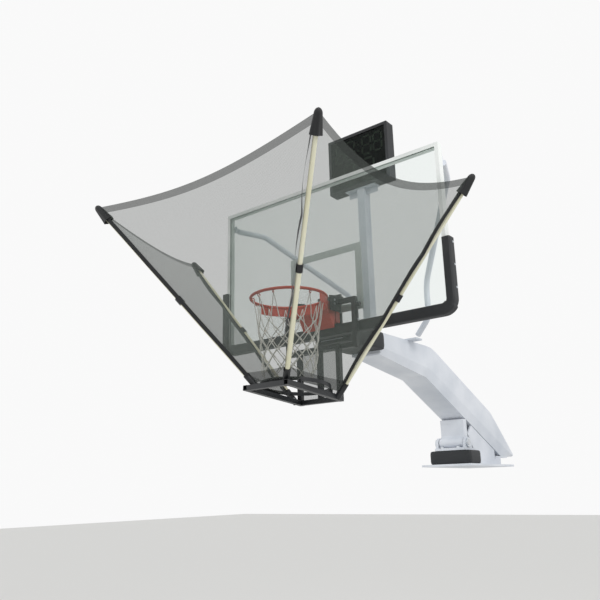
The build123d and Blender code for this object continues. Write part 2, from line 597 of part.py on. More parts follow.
def make_return_frame():
    t = FRAME_TUBE
    wall = 2.0
    half = t / 2
    top_z = 152.0
    low_z = -140.0
    # Hanger: two posts, a bottom rail and two short top rails that reach in to the ring's sides.
    hanger = None
    for side in (-1, 1):
        post = square_tube(at(side * HANGER_HALF, HANGER_Y, low_z - half),
                           at(side * HANGER_HALF, HANGER_Y, top_z + half), t, t, wall)
        rail = square_tube(at(side * (CLAMP_X + CLAMP_THICK), HANGER_Y, top_z),
                           at(side * (HANGER_HALF - half), HANGER_Y, top_z), t, t, wall, (0, 1, 0))
        hanger = post + rail if hanger is None else hanger + post + rail
    hanger = hanger + square_tube(at(-HANGER_HALF + half, HANGER_Y, low_z), at(HANGER_HALF - half, HANGER_Y, low_z),
                                  t, t, wall, (0, 1, 0))
    save("hanger_frame", hanger)

    # Clamp plates along the ring's sides; two bolts in each grip the ring's base.
    clamps = []
    bolts = []
    for side in (-1, 1):
        low = min(side * CLAMP_X, side * (CLAMP_X + CLAMP_THICK))
        plate = side_plate([(-2, 150), (-2, 196), (-40, 198), (-150, 180), (-146, 86), (-36, 86),
                            (-36, 150)], low, low + CLAMP_THICK)
        arm = block((min(side * 60, side * CLAMP_X), -12.5, RING_BASE_TOP),
                    (max(side * 60, side * CLAMP_X), -2, 192))
        spots = [at(side * (CLAMP_X + CLAMP_THICK), -106, z) for z in (131, 157)]
        for spot in spots:
            plate = plate - rod(spot, spot - Vector(side * 20, 0, 0), 4.3)
            bolts.append(hex_bolt(spot, (-side, 0, 0), 8, CLAMP_THICK + 2, 5))
        clamps.append(plate + arm)
    save("clamp_plates", clamps)
    save("clamp_bolts", bolts)

    # Latch levers outside the hanger's posts: a flat bar with a turned knob, on a shoulder screw.
    for side, name in ((-1, "latch_left"), (1, "latch_right")):
        outside = side * (HANGER_HALF + half)
        pivot = at(outside + side * 0.5, HANGER_Y, LATCH_Z)
        lever = block((min(outside + side * 1.5, outside + side * 7.5), HANGER_Y - 8, LATCH_Z - 10),
                      (max(outside + side * 1.5, outside + side * 7.5), HANGER_Y + 8, LATCH_Z + 92))
        lever = lever - rod(pivot, pivot + Vector(side * 12, 0, 0), 4.05)
        knob = rod(at(outside + side * 2.5, HANGER_Y, LATCH_Z + 100), at(outside + side * 26, HANGER_Y, LATCH_Z + 100), 13)
        save(name, lever + knob)
    screws = []
    for side in (-1, 1):
        face = at(side * (HANGER_HALF + half), HANGER_Y, LATCH_Z)
        out = Vector(side, 0, 0)
        screws.append(rod(face, face + out * 9, 4) + rod(face + out * 9, face + out * 13, 9))
    save("latch_screws", screws)

    # Rear frame: two outer posts, a middle post and a top rail, with a mesh panel tied in.
    rear_y = CHUTE_BACK_Y
    rear_top = low_z + half
    rear_low = CHUTE_BACK_Z + half
    rear = None
    for x in (-CHUTE_HALF, 8.0, CHUTE_HALF):
        post = square_tube(at(x, rear_y, rear_low), at(x, rear_y, rear_top - t), t, t, wall)
        rear = post if rear is None else rear + post
    rear = rear + square_tube(at(-CHUTE_HALF - half, rear_y, rear_top - half),
                              at(CHUTE_HALF + half, rear_y, rear_top - half), t, t, wall, (0, 1, 0))
    rear = rear - block((-200, HANGER_Y - half - 0.2, low_z - half - 1), (200, HANGER_Y + half + 5, low_z + half + 1))
    save("rear_frame", rear)
    panels = []
    for low_x, high_x in ((-CHUTE_HALF + half + SEAT_GAP, 8 - half - SEAT_GAP),
                          (8 + half + SEAT_GAP, CHUTE_HALF - half - SEAT_GAP)):
        panels.append(block((low_x, rear_y - 1, rear_low + SEAT_GAP), (high_x, rear_y + 1, rear_top - t - SEAT_GAP)))
    save("rear_mesh", panels)

    # Chute frame: four tubes round the outlet, falling gently towards the board.
    corners = [at(-CHUTE_HALF, CHUTE_FRONT_Y, CHUTE_FRONT_Z), at(CHUTE_HALF, CHUTE_FRONT_Y, CHUTE_FRONT_Z),
               at(CHUTE_HALF, CHUTE_BACK_Y, CHUTE_BACK_Z), at(-CHUTE_HALF, CHUTE_BACK_Y, CHUTE_BACK_Z)]
    inward = Vector(half, 0, 0)
    front = square_tube(corners[0] + inward, corners[1] - inward, t, t, wall, (0, 1, 0))
    back = square_tube(corners[3] + inward, corners[2] - inward, t, t, wall, (0, 1, 0))
    slope = (corners[2] - corners[1]).normalized()
    chute = front + back
    for a, b in ((corners[1], corners[2]), (corners[0], corners[3])):
        chute = chute + square_tube(a - slope * half, b + slope * half, t, t, wall)
    rear_room = block((-200, rear_y - half, rear_low), (200, rear_y + half, 0))
    chute = chute - rear_room

    # Hoop band above the chute, tilted with it, on four short stand-offs.
    tilt = degrees(atan2(CHUTE_FRONT_Z - CHUTE_BACK_Z, CHUTE_BACK_Y - CHUTE_FRONT_Y))
    plane = Plane(origin=at(0, HOOP_CENTRE_Y, HOOP_CENTRE_Z)).rotated((-tilt, 0, 0))
    ring = plane * (Circle(HOOP_RADIUS) - Circle(HOOP_RADIUS - HOOP_THICK))
    hoop = extrude(ring, HOOP_BAND / 2, both=True)
    save("hoop_band", hoop)
    for sx in (-1, 1):
        for sy in (-1, 1):
            x = sx * CHUTE_HALF
            run = sqrt((HOOP_RADIUS - HOOP_THICK / 2) ** 2 - x ** 2)
            y = HOOP_CENTRE_Y + sy * run
            low = chute_z(y) + half * 1.02
            high = HOOP_CENTRE_Z - sin(radians(tilt)) * (y - HOOP_CENTRE_Y) - HOOP_BAND / 2
            post = block((x - 8, y - 8, low - 6), (x + 8, y + 8, high + 8))
            post = post - hoop
            post = post - square_tube(corners[0] - slope * 40, corners[3] + slope * 40, t, t, half * 0.99)
            post = post - square_tube(corners[1] - slope * 40, corners[2] + slope * 40, t, t, half * 0.99)
            chute = chute + max(post.solids(), key=lambda solid: solid.volume)

    # Cap-head bolts down through the top of the side tubes, near the four corners.
    bolts = []
    normal = slope.cross(Vector(1, 0, 0)).normalized()
    if normal.Z < 0:
        normal = normal * -1
    for near, far in ((corners[0], corners[3]), (corners[3], corners[0]), (corners[1], corners[2]), (corners[2], corners[1])):
        toward = (far - near).normalized()
        seat = near + toward * (half + 60) + normal * half
        chute = chute - rod(seat, seat - normal * (wall + 1), 4.2)
        bolts.append(rod(seat, seat + normal * 7, 8) + rod(seat - normal * 14, seat, 4.0))
    save("frame_bolts", bolts)
    save("chute_frame", chute)

    # The room the tubes take up, which the pole sockets are coped round.
    pairs = [(corners[0], corners[3]), (corners[1], corners[2]), (corners[0], corners[1]), (corners[3], corners[2])]
    rooms = [square_bar(a, b, t) for a, b in pairs]
    rooms.append(block((-CHUTE_HALF - half, rear_y - half, rear_low), (CHUTE_HALF + half, rear_y + half, rear_top)))
    return rooms


# ---------------------------------------------------------------- poles and mesh
POLES = {
    "front_left": ((-127.0, -566.0, -388.0), (-868.0, -1188.0, 730.0)),
    "front_right": ((127.0, -566.0, -388.0), (868.0, -1188.0, 730.0)),
    "rear_left": ((-190.0, -126.0, -434.0), (-1151.0, -115.0, 691.0)),
    "rear_right": ((190.0, -126.0, -434.0), (1151.0, -115.0, 691.0)),
}


def make_poles(frame_room):
    """Poles, their locks and the sockets, which are coped to the frame's tubes given in frame_room."""
    lowers = []
    sockets = []
    locks = []
    for name, (foot, tip) in POLES.items():
        start = at(*foot)
        end = at(*tip)
        unit = (end - start).normalized()
        length = (end - start).length
        split = start + unit * (length * POLE_SPLIT)
        inner = POLE_OUTER - POLE_WALL
        lower = rod(start, split, POLE_OUTER, inner)
        lowers.append(lower)
        socket = rod(start, start + unit * 62, POLE_OUTER + 5, POLE_OUTER + 0.05)
        socket = socket + rod(start - unit * 46, start, POLE_OUTER + 5)
        for room in frame_room:
            socket = socket - room
        sockets.append(max(socket.solids(), key=lambda solid: solid.center().Z))
        lock = rod(split - unit * (LOCK_LENGTH - 12), split + unit * 12, LOCK_RADIUS, POLE_OUTER + 0.05)
        lock = lock - rod(split, split + unit * 13, POLE_OUTER + 0.06)
        cover = rod(split + unit * 0.5, split + unit * 12, LOCK_RADIUS, inner + 0.15)
        locks.append(lock + cover)
        upper_radius = inner - POLE_INNER_GAP
        upper = rod(split - unit * POLE_OVERLAP, end, upper_radius, upper_radius - POLE_WALL)
        # A turned plug closes the tip; the mesh's corner pocket slips over it.
        upper = upper + rod(end - unit * 30, end + unit * 8, upper_radius)
        save(f"pole_upper_{name}", upper)
    save("pole_lower_tubes", lowers)
    save("pole_locks", locks)
    save("pole_sockets", sockets)


def mesh_wall(first, second, sag, steps=6):
    """A thin wall between two poles: flat strips between lines that run up it, its top edge sagging."""
    sections = []
    ends = []
    for name, other in ((first, second), (second, first)):
        foot = at(*POLES[name][0])
        tip = at(*POLES[name][1])
        unit = (tip - foot).normalized()
        toward = (at(*POLES[other][1]) - tip).normalized()
        aside = (toward - unit * toward.dot(unit)).normalized() * (LOCK_RADIUS + FIT_GAP)
        ends.append((foot + unit * MESH_SHORTFALL + aside, tip + aside - unit * 4))
    for index in range(steps + 1):
        share = index / steps
        low = lerp(ends[0][0], ends[1][0], share)
        high = lerp(ends[0][1], ends[1][1], share)
        up = (high - low).normalized()
        high = high - up * sag * 4 * share * (1 - share)
        across = (ends[1][1] - ends[0][1]).normalized()
        out = across.cross(up).normalized() * (MESH_THICK / 2)
        sections.append(Face(Wire.make_polygon([low - out, high - out, high + out, low + out])))
    return loft(sections, ruled=True)


def make_mesh():
    save("mesh_front", mesh_wall("front_left", "front_right", 80.0))
    save("mesh_right", mesh_wall("front_right", "rear_right", 165.0))
    save("mesh_left", mesh_wall("rear_left", "front_left", 120.0))


def main():
    make_base()
    make_boom()
    make_head()
    make_mast()
    make_clock()
    make_braces()
    make_board()
    make_ring()
    make_poles(make_return_frame())
    make_mesh()


main()
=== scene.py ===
"""Looks for a glass basketball goal with a pole-hung ball-return net and a shot clock.

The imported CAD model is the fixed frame; this script gives it finishes, sews the mesh funnel, knots
the ring's net and pads the edges. Metres, +Z up, +Y from the board back towards the boom.
"""

import json
from math import radians

import bmesh
import bpy
import numpy as np
from mathutils import Matrix, Vector


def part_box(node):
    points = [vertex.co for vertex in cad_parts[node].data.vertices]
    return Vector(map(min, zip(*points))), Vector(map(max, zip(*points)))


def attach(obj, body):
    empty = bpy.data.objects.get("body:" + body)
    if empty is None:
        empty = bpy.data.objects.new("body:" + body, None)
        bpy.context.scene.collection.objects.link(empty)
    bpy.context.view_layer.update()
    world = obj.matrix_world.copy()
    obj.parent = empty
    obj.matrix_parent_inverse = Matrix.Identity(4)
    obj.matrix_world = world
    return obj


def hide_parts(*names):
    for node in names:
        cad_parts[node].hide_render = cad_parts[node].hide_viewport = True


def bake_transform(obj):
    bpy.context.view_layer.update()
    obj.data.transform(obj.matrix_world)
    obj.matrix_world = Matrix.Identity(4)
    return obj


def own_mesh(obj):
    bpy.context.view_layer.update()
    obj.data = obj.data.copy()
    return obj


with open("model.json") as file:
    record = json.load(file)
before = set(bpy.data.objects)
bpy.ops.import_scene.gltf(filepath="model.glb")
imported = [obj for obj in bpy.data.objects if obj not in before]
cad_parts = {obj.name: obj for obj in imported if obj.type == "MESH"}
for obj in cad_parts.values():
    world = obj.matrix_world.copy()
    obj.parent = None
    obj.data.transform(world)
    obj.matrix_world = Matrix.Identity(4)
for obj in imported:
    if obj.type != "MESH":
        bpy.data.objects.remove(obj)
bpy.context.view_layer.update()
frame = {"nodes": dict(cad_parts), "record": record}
nodes = frame["nodes"]
record = frame["record"]

# ---------------------------------------------------------------- studio: camera, floor and light
# The goal hangs 2.9 m up, so the camera stands on the ground in front of it and looks up past the net.
# The floor lies far below the mounting plate, where the ground is under a regulation ring.
GROUND_Z = -2.054
CAMERA_PLACE = Vector((2.546, -5.479, -0.154))
CAMERA_YAW = radians(38.162)
CAMERA_PITCH = radians(-15.771)
CAMERA_ROLL = radians(-1.366)
SENSOR = 36.0
FOCAL = 676.822 / 600 * SENSOR


def linear(hex_colour):
    """An sRGB hex colour as linear RGB with alpha 1, by the sRGB curve."""
    values = []
    for start in (0, 2, 4):
        c = int(hex_colour.lstrip("#")[start:start + 2], 16) / 255
        values.append(c / 12.92 if c <= 0.04045 else ((c + 0.055) / 1.055) ** 2.4)
    return (*values, 1.0)


def camera_axes(yaw, pitch, roll):
    """Right, up and back of a camera turned by yaw about Z, tipped by pitch, then rolled in its own plane."""
    back = np.array([np.sin(yaw) * np.cos(pitch), -np.cos(yaw) * np.cos(pitch), np.sin(pitch)])
    right = np.cross(-back, [0, 0, 1.0])
    right /= np.linalg.norm(right)
    up = np.cross(right, -back)
    turned_right = np.cos(roll) * right + np.sin(roll) * up
    turned_up = -np.sin(roll) * right + np.cos(roll) * up
    return turned_right, turned_up, back


camera_data = bpy.data.cameras.new("camera")
camera_data.sensor_width = SENSOR
camera_data.lens = FOCAL
camera_data.clip_end = 200
camera = bpy.data.objects.new("camera", camera_data)
bpy.context.collection.objects.link(camera)
axes = camera_axes(CAMERA_YAW, CAMERA_PITCH, CAMERA_ROLL)
camera.matrix_world = Matrix.Translation(CAMERA_PLACE) @ Matrix(np.array(axes).T.tolist()).to_4x4()
camera_data.shift_x = -(301.349 - 300) / 600
camera_data.shift_y = (298.72 - 300) / 600
bpy.context.scene.camera = camera

world = bpy.data.worlds.new("studio")
world.use_nodes = True
world.node_tree.nodes["Background"].inputs["Color"].default_value = linear("#FFFFFF")
world.node_tree.nodes["Background"].inputs["Strength"].default_value = 0.95
bpy.context.scene.world = world
bpy.context.scene.view_settings.view_transform = "Standard"


def softbox(name, place, target, size, power):
    """A square area light at a place, aimed at a target."""
    data = bpy.data.lights.new(name, "AREA")
    data.size = size
    data.energy = power
    lamp = bpy.data.objects.new(name, data)
    aim = (Vector(target) - Vector(place)).to_track_quat("-Z", "Y").to_matrix().to_4x4()
    lamp.matrix_world = Matrix.Translation(place) @ aim
    bpy.context.collection.objects.link(lamp)
    return lamp


softbox("key", (4.5, -4.0, 4.5), (0, -1.6, 1.2), 3.0, 120)
softbox("fill", (-4.5, -5.0, 1.5), (0, -1.6, 1.2), 4.0, 30)


def add(tree, kind, settings=None, links=()):
    """Add a shader node with its settings and its links, each (own input, other node, other output)."""
    node = tree.nodes.new(kind)
    for key, value in (settings or {}).items():
        if key in node.inputs:
            node.inputs[key].default_value = value
        else:
            setattr(node, key, value)
    for own, other, output in links:
        tree.links.new(other.outputs[output], node.inputs[own])
    return node


def new_material(name):
    """An empty node material with its tree and output."""
    material = bpy.data.materials.new(name)
    material.use_nodes = True
    material.node_tree.nodes.clear()
    return material, material.node_tree, add(material.node_tree, "ShaderNodeOutputMaterial")


def finish_with(material, *node_names):
    """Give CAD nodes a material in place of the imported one."""
    for name in node_names:
        mesh = nodes[name].data
        mesh.materials.clear()
        mesh.materials.append(material)


def mesh_piece(name, points, faces, smooth=True, uv=None):
    """An object at the origin from arrays of points and faces, with an optional UV for each point."""
    mesh = bpy.data.meshes.new(name)
    mesh.from_pydata(np.asarray(points, float).reshape(-1, 3).tolist(), [], np.asarray(faces).tolist())
    mesh.polygons.foreach_set("use_smooth", np.full(len(mesh.polygons), smooth))
    if uv is not None:
        layer = mesh.uv_layers.new(name="UVMap")
        corner = np.zeros(len(mesh.loops), int)
        mesh.loops.foreach_get("vertex_index", corner)
        layer.data.foreach_set("uv", np.asarray(uv, float).reshape(-1, 2)[corner].ravel())
    mesh.update()
    piece = bpy.data.objects.new(name, mesh)
    bpy.context.collection.objects.link(piece)
    return piece


def grid_faces(rows, columns, wrap=False):
    """Quads of a grid of rows by columns of points; wrap joins the last column to the first."""
    across = columns if wrap else columns - 1
    r, c = np.meshgrid(np.arange(rows - 1), np.arange(across), indexing="ij")
    a = r * columns + c
    b = r * columns + (c + 1) % columns
    return np.stack([a, b, b + columns, a + columns], axis=-1).reshape(-1, 4)


# The studio's ground: one pale painted slab, well below the part.
ground_u, ground_v = np.meshgrid([-40.0, 40.0], [-40.0, 40.0], indexing="ij")
ground = mesh_piece("ground", np.stack([ground_u, ground_v, np.full_like(ground_u, GROUND_Z)], -1),
                    [[0, 2, 3, 1]], smooth=False)
pale, tree, output = new_material("pale_floor_paint")
paint = add(tree, "ShaderNodeBsdfPrincipled", {"Base Color": linear("#D6D6D4"), "Roughness": 0.8})
tree.links.new(paint.outputs[0], output.inputs[0])
ground.data.materials.append(pale)


# ---------------------------------------------------------------- steelwork: boom, head, braces, mast, base
# Welded steel, powder-coated white at the works and stoved: a hard skin with a faint orange peel,
# a little greyer and duller in broad patches where hands and rain have been.
def powder_coat(name, colour, worn, roughness, peel_mm=2.5, coat=0.0):
    """Stoved powder: broad colour drift by low noise, and orange peel by noise at the peel's real pitch."""
    material, tree, output = new_material(name)
    place = add(tree, "ShaderNodeTexCoord")
    drift = add(tree, "ShaderNodeTexNoise", {"Scale": 3.0, "Detail": 4.0}, [("Vector", place, "Object")])
    ramp = add(tree, "ShaderNodeMapRange", {"From Min": 0.40, "From Max": 0.72}, [("Value", drift, "Fac")])
    mix = add(tree, "ShaderNodeMix", {"data_type": "RGBA"})
    mix.inputs[6].default_value = linear(colour)
    mix.inputs[7].default_value = linear(worn)
    tree.links.new(ramp.outputs["Result"], mix.inputs[0])
    peel = add(tree, "ShaderNodeTexNoise", {"Scale": 1000 / peel_mm / 2, "Detail": 1.0}, [("Vector", place, "Object")])
    bump = add(tree, "ShaderNodeBump", {"Strength": 0.12, "Distance": 0.0004}, [("Height", peel, "Fac")])
    rough = add(tree, "ShaderNodeMapRange", {"To Min": roughness, "To Max": roughness + 0.15}, [("Value", drift, "Fac")])
    shader = add(tree, "ShaderNodeBsdfPrincipled", {"Coat Weight": coat, "Coat Roughness": 0.15},
                 [("Base Color", mix, 2), ("Roughness", rough, "Result"), ("Normal", bump, "Normal")])
    tree.links.new(shader.outputs[0], output.inputs[0])
    return material


white_powder = powder_coat("white_powder_coat", "#D9DDE4", "#C3C9D2", 0.32)
finish_with(white_powder, "boom_arm", "boom_leg", "head_block", "brace_left", "brace_right", "brace_lugs",
            "clock_mast", "clock_bracket", "tail_seat", "clevis_bracket", "pedestal_box", "mounting_plate")

# ---------------------------------------------------------------- board: frame, glass and target
# Extruded aluminium round the edge, powder-coated off-white; the glass is 12 mm tempered float, whose
# iron gives a green edge, and the target is white ceramic ink fired on its back.
frame_powder = powder_coat("frame_powder_coat", "#E9ECEA", "#C9CFCC", 0.38)
finish_with(frame_powder, "board_frame")

tempered, tree, output = new_material("tempered_float_glass")
clear = add(tree, "ShaderNodeBsdfTransparent", {"Color": linear("#FAFCFB")})
shine = add(tree, "ShaderNodeBsdfPrincipled", {"Base Color": linear("#E2EDE7"), "Roughness": 0.03})
edge = add(tree, "ShaderNodeFresnel", {"IOR": 1.30})
both = add(tree, "ShaderNodeMixShader", {}, [(0, edge, "Fac"), (1, clear, 0), (2, shine, 0)])
tree.links.new(both.outputs[0], output.inputs[0])
finish_with(tempered, "glass_board")

ink = powder_coat("fired_ceramic_ink", "#FAFBFB", "#EDEFEF", 0.45, peel_mm=1.0)
finish_with(ink, "target_lines")

# ---------------------------------------------------------------- return frame: hanger, chute, hoop, sockets
# Square and flat steel, powder-coated satin black, with the peel a little coarser than on the boom.
black_powder = powder_coat("black_powder_coat", "#16181B", "#24282C", 0.30, peel_mm=3.0)
finish_with(black_powder, "hanger_frame", "chute_frame", "rear_frame", "hoop_band", "clamp_plates",
            "pole_sockets", "pole_locks", "latch_left", "latch_right", "ring_back_plate")

# ---------------------------------------------------------------- ring
# Round bar and pressed plate, powder-coated signal orange; the top of the bar is polished by the ball.
orange_powder = powder_coat("orange_powder_coat", "#D8401F", "#B83418", 0.34, coat=0.2)
finish_with(orange_powder, "ring_rim", "ring_bracket", "ring_base")


# ---------------------------------------------------------------- bolts, pins and bush
# Zinc-plated bolts are bright with a faint blue cast; the fold pin is ground bar in a bronze bush.
def plated_metal(name, colour, roughness, grain_mm):
    """Bare or plated metal: one colour with fine grain in its roughness, at the grain's pitch."""
    material, tree, output = new_material(name)
    place = add(tree, "ShaderNodeTexCoord")
    grain = add(tree, "ShaderNodeTexNoise", {"Scale": 1000 / grain_mm / 2, "Detail": 2.0}, [("Vector", place, "Object")])
    rough = add(tree, "ShaderNodeMapRange", {"To Min": roughness - 0.1, "To Max": roughness + 0.15},
                [("Value", grain, "Fac")])
    shader = add(tree, "ShaderNodeBsdfPrincipled", {"Base Color": linear(colour), "Metallic": 1.0},
                 [("Roughness", rough, "Result")])
    tree.links.new(shader.outputs[0], output.inputs[0])
    return material


zinc = plated_metal("bright_zinc_plate", "#D5DADF", 0.35, 3.0)
finish_with(zinc, "ring_bolts", "ring_pin", "ring_spacers", "release_spring", "head_bolts", "mast_bolts",
            "clamp_bolts", "clevis_bolts", "frame_bolts", "latch_screws", "edge_pad_screws", "fold_pin_collars")
finish_with(plated_metal("ground_steel_bar", "#C9CCD0", 0.25, 1.5), "fold_pin")
finish_with(plated_metal("sintered_bronze", "#9A7A45", 0.5, 1.0), "fold_bush")
finish_with(plated_metal("painted_hook_wire", "#C8512F", 0.6, 2.0), "net_hooks")


# ---------------------------------------------------------------- poles
# Drawn steel tube under cream enamel; the upper tubes slide in the lower ones, so they show fine rub lines.
cream, tree, output = new_material("cream_enamel")
place = add(tree, "ShaderNodeTexCoord")
drift = add(tree, "ShaderNodeTexNoise", {"Scale": 2.2, "Detail": 3.0}, [("Vector", place, "Object")])
mix = add(tree, "ShaderNodeMix", {"data_type": "RGBA"}, [(0, drift, "Fac")])
mix.inputs[6].default_value = linear("#EFEEDD")
mix.inputs[7].default_value = linear("#D3CFA9")
rub = add(tree, "ShaderNodeTexNoise", {"Scale": 260.0, "Detail": 2.0}, [("Vector", place, "Object")])
bump = add(tree, "ShaderNodeBump", {"Strength": 0.1, "Distance": 0.0003}, [("Height", rub, "Fac")])
shader = add(tree, "ShaderNodeBsdfPrincipled", {"Roughness": 0.3},
             [("Base Color", mix, 2), ("Normal", bump, "Normal")])
tree.links.new(shader.outputs[0], output.inputs[0])
POLE_NAMES = ("front_right", "front_left", "rear_right", "rear_left")
finish_with(cream, "pole_lower_tubes", *(f"pole_upper_{name}" for name in POLE_NAMES))


# ---------------------------------------------------------------- shot clock
# A sheet-metal case, fine-textured black, with a smoked acrylic window; the display is off, so its
# segments show as pale dotted bars behind the window.
finish_with(powder_coat("textured_black_case", "#1B1D20", "#2C2F33", 0.5, peel_mm=4.0), "clock_housing", "clock_bezel")
smoked, tree, output = new_material("smoked_acrylic")
clear = add(tree, "ShaderNodeBsdfTransparent", {"Color": linear("#B9C2BD")})
shine = add(tree, "ShaderNodeBsdfPrincipled", {"Base Color": linear("#0E1412"), "Roughness": 0.08})
both = add(tree, "ShaderNodeMixShader", {"Fac": 0.22}, [(1, clear, 0), (2, shine, 0)])
tree.links.new(both.outputs[0], output.inputs[0])
finish_with(smoked, "clock_window")

segment, tree, output = new_material("unlit_dot_segments")
place = add(tree, "ShaderNodeTexCoord")
dots = add(tree, "ShaderNodeTexVoronoi", {"Scale": 1000 / 9.0, "Randomness": 0.0}, [("Vector", place, "Object")])
spot = add(tree, "ShaderNodeMapRange", {"From Min": 0.30, "From Max": 0.42}, [("Value", dots, "Distance")])
mix = add(tree, "ShaderNodeMix", {"data_type": "RGBA"}, [(0, spot, "Result")])
mix.inputs[6].default_value = linear("#D9DACB")
mix.inputs[7].default_value = linear("#7E8176")
shader = add(tree, "ShaderNodeBsdfPrincipled", {"Roughness": 0.6}, [("Base Color", mix, 2)])
tree.links.new(shader.outputs[0], output.inputs[0])
finish_with(segment, "clock_digits")

# The board behind the window, matt black-green, that carries the segments.
low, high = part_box("clock_window")
digits_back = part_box("clock_digits")[1].y
panel_x, panel_z = np.meshgrid(np.linspace(low.x, high.x, 2), np.linspace(low.z, high.z, 2), indexing="ij")
display_board = mesh_piece("display_board", np.stack([panel_x, np.full_like(panel_x, digits_back), panel_z], -1),
                           [[0, 2, 3, 1]], smooth=False)
display_board.data.materials.append(powder_coat("display_backing", "#232A28", "#1B211F", 0.7))
thick = display_board.modifiers.new("thickness", "SOLIDIFY")
thick.thickness = 0.003
thick.offset = -1
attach(display_board, "boom")

# ---------------------------------------------------------------- return funnel: three mesh walls
# Knitted polyester mesh, dark grey-green, cut as trapezoids and hemmed with black webbing. The hems are
# sewn round the poles at the sides, tied to the chute frame below, and sag between the pole tips.
FEET = {"front_right": (0.127, -2.556, 0.458), "front_left": (-0.127, -2.556, 0.458),
        "rear_right": (0.190, -2.116, 0.412), "rear_left": (-0.190, -2.116, 0.412)}
TIPS = {"front_right": (0.868, -3.178, 1.576), "front_left": (-0.868, -3.178, 1.576),
        "rear_right": (1.151, -2.105, 1.537), "rear_left": (-1.151, -2.105, 1.537)}
HEM_SHARE = 0.035           # of the wall's height, along the top and along the foot


def knitted_mesh(name, thread, cover, hole_mm):
    """A see-through knit: thread colour over clear, covering a steady share with the holes' own ripple."""
    material, tree, output = new_material(name)
    place = add(tree, "ShaderNodeTexCoord")
    holes = add(tree, "ShaderNodeTexVoronoi", {"Scale": 1000 / hole_mm, "Randomness": 0.15}, [("Vector", place, "UV")])
    share = add(tree, "ShaderNodeMapRange", {"From Max": 0.7, "To Min": cover - 0.10, "To Max": cover + 0.10},
                [("Value", holes, "Distance")])
    clear = add(tree, "ShaderNodeBsdfTransparent")
    yarn = add(tree, "ShaderNodeBsdfPrincipled", {"Base Color": linear(thread), "Roughness": 0.8})
    both = add(tree, "ShaderNodeMixShader", {}, [(0, share, "Result"), (1, clear, 0), (2, yarn, 0)])
    tree.links.new(both.outputs[0], output.inputs[0])
    return material


grey_knit = knitted_mesh("grey_green_knit", "#59605B", 0.50, 8.0)
hem_knit = knitted_mesh("doubled_hem_knit", "#3A3F3C", 0.78, 6.0)


def wall(name, node, left, right, sag, billow, start, stop, rows=60, columns=48):
    """Half of a wall: straight rows from foot line to a parabolic top edge, bellied outward by a sine."""
    u, v = np.meshgrid(np.linspace(start, stop, columns), np.linspace(0, 1, rows), indexing="xy")
    foot_a, foot_b, tip_a, tip_b = (np.array(p) for p in (FEET[left], FEET[right], TIPS[left], TIPS[right]))
    foot = foot_a + (foot_b - foot_a) * u[..., None]
    top = tip_a + (tip_b - tip_a) * u[..., None]
    rise = top - foot
    top = top - rise / np.linalg.norm(rise, axis=-1, keepdims=True) * (sag * 4 * u * (1 - u))[..., None]
    out = np.cross(foot_b - foot_a + tip_b - tip_a, (tip_a + tip_b - foot_a - foot_b))
    out = out / np.linalg.norm(out)
    belly = billow * np.sin(np.pi * u) * np.sin(np.pi * v) + 0.004 * np.sin(23 * u + 5 * v) * np.sin(np.pi * v) * v
    points = foot + (top - foot) * v[..., None] + out * belly[..., None]
    across = np.linalg.norm(foot_b - foot_a) + (np.linalg.norm(tip_b - tip_a) - np.linalg.norm(foot_b - foot_a)) * v
    height = np.linalg.norm(tip_a - foot_a)
    piece = mesh_piece(name, points, grid_faces(rows, columns), uv=np.stack([(u - 0.5) * across, v * height], -1))
    piece.data.materials.append(grey_knit)
    piece.data.materials.append(hem_knit)
    row = np.repeat(np.arange(rows - 1), columns - 1) / (rows - 1)
    edge = ((row > 1 - HEM_SHARE) | (row < HEM_SHARE)).astype(int)
    piece.data.polygons.foreach_set("material_index", edge)
    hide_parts(node)
    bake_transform(piece)
    return piece


for side, node, left, right, sag, billow in (("front", "mesh_front", "front_left", "front_right", 0.080, -0.012),
                                             ("right", "mesh_right", "front_right", "rear_right", 0.165, -0.012),
                                             ("left", "mesh_left", "front_left", "rear_left", 0.120, 0.012)):
    wall(f"{side}_wall_a", node, left, right, sag, billow, 0.0, 0.5)
    wall(f"{side}_wall_b", node, left, right, sag, billow, 0.5, 1.0)

# The short wall behind the chute is one laced panel of the same knit, its two bays split by the middle post.
low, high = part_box("rear_mesh")
bay_u, bay_v = np.meshgrid(np.linspace(low.x, high.x, 24), np.linspace(low.z, high.z, 24), indexing="xy")
slack = 0.004 * np.sin(np.pi * (bay_v - low.z) / (high.z - low.z)) * np.sin(9 * np.pi * bay_u)
rear_panel = mesh_piece("rear_panel", np.stack([bay_u, (low.y + high.y) / 2 + slack, bay_v], -1),
                        grid_faces(24, 24), uv=np.stack([bay_u, bay_v], -1))
rear_panel.data.materials.append(grey_knit)
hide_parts("rear_mesh")
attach(rear_panel, "boom")


# ---------------------------------------------------------------- pockets and webbing on the poles
# Black nylon: a sewn pocket over each tip takes the pull of the mesh, and 25 mm webbing runs down each
# pole from it, laid in slack waves and tied round the tube at the lock.
def woven_nylon(name, colour):
    """Tight black weave: ribs at the yarn's pitch in the bump, a little sheen."""
    material, tree, output = new_material(name)
    place = add(tree, "ShaderNodeTexCoord")
    ribs = add(tree, "ShaderNodeTexNoise", {"Scale": 500.0, "Detail": 1.0}, [("Vector", place, "Object")])
    bump = add(tree, "ShaderNodeBump", {"Strength": 0.3, "Distance": 0.0006}, [("Height", ribs, "Fac")])
    shader = add(tree, "ShaderNodeBsdfPrincipled", {"Base Color": linear(colour), "Roughness": 0.75,
                 "Sheen Weight": 0.2}, [("Normal", bump, "Normal")])
    tree.links.new(shader.outputs[0], output.inputs[0])
    return material


black_nylon = woven_nylon("black_nylon_webbing", "#17191B")


def across_axes(axis):
    """Two unit vectors square to an axis and to each other."""
    first = np.cross(axis, [0, 0, 1.0])
    first /= np.linalg.norm(first)
    return first, np.cross(axis, first)


